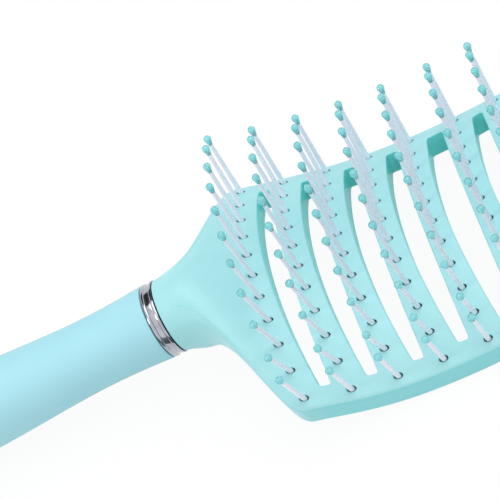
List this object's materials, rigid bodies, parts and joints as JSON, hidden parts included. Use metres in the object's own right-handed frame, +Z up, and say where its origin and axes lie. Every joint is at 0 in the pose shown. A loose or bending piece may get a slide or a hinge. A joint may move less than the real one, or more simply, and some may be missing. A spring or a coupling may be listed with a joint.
{
  "type": "vented paddle brush",
  "caption": "Curved vented hair brush: crowned head with arched air slots, rows of ball-tipped pins on separate bars, a back cover, a chrome trim ring and a round waisted grip.",
  "frame": {"origin": "on the table under the middle of the bounding box, the brush lying on its back with the pins up", "axes": "+X along the brush from the handle's butt to the head's tip, +Y across the head, +Z up, the way the pins point"},
  "size_m": [0.2402, 0.0756, 0.0485],
  "materials": {
    "head_mint": "satin gloss moulding",
    "grip_mint": "soft matte",
    "pin_nylon": "milky nylon with mint ball tips",
    "ring_chrome": "bright plated"
  },
  "bodies": {
    "root": {"head_frame": "head_mint", "back_cover": "head_mint", "pin_row_01": "pin_nylon", "pin_row_02": "pin_nylon", "pin_row_03": "pin_nylon", "pin_row_04": "pin_nylon", "pin_row_05": "pin_nylon", "pin_row_06": "pin_nylon", "pin_row_07": "pin_nylon", "pin_row_08": "pin_nylon", "pin_row_09": "pin_nylon", "pin_row_10": "pin_nylon", "trim_ring": "ring_chrome", "handle": "grip_mint"}
  },
  "joints": []
}
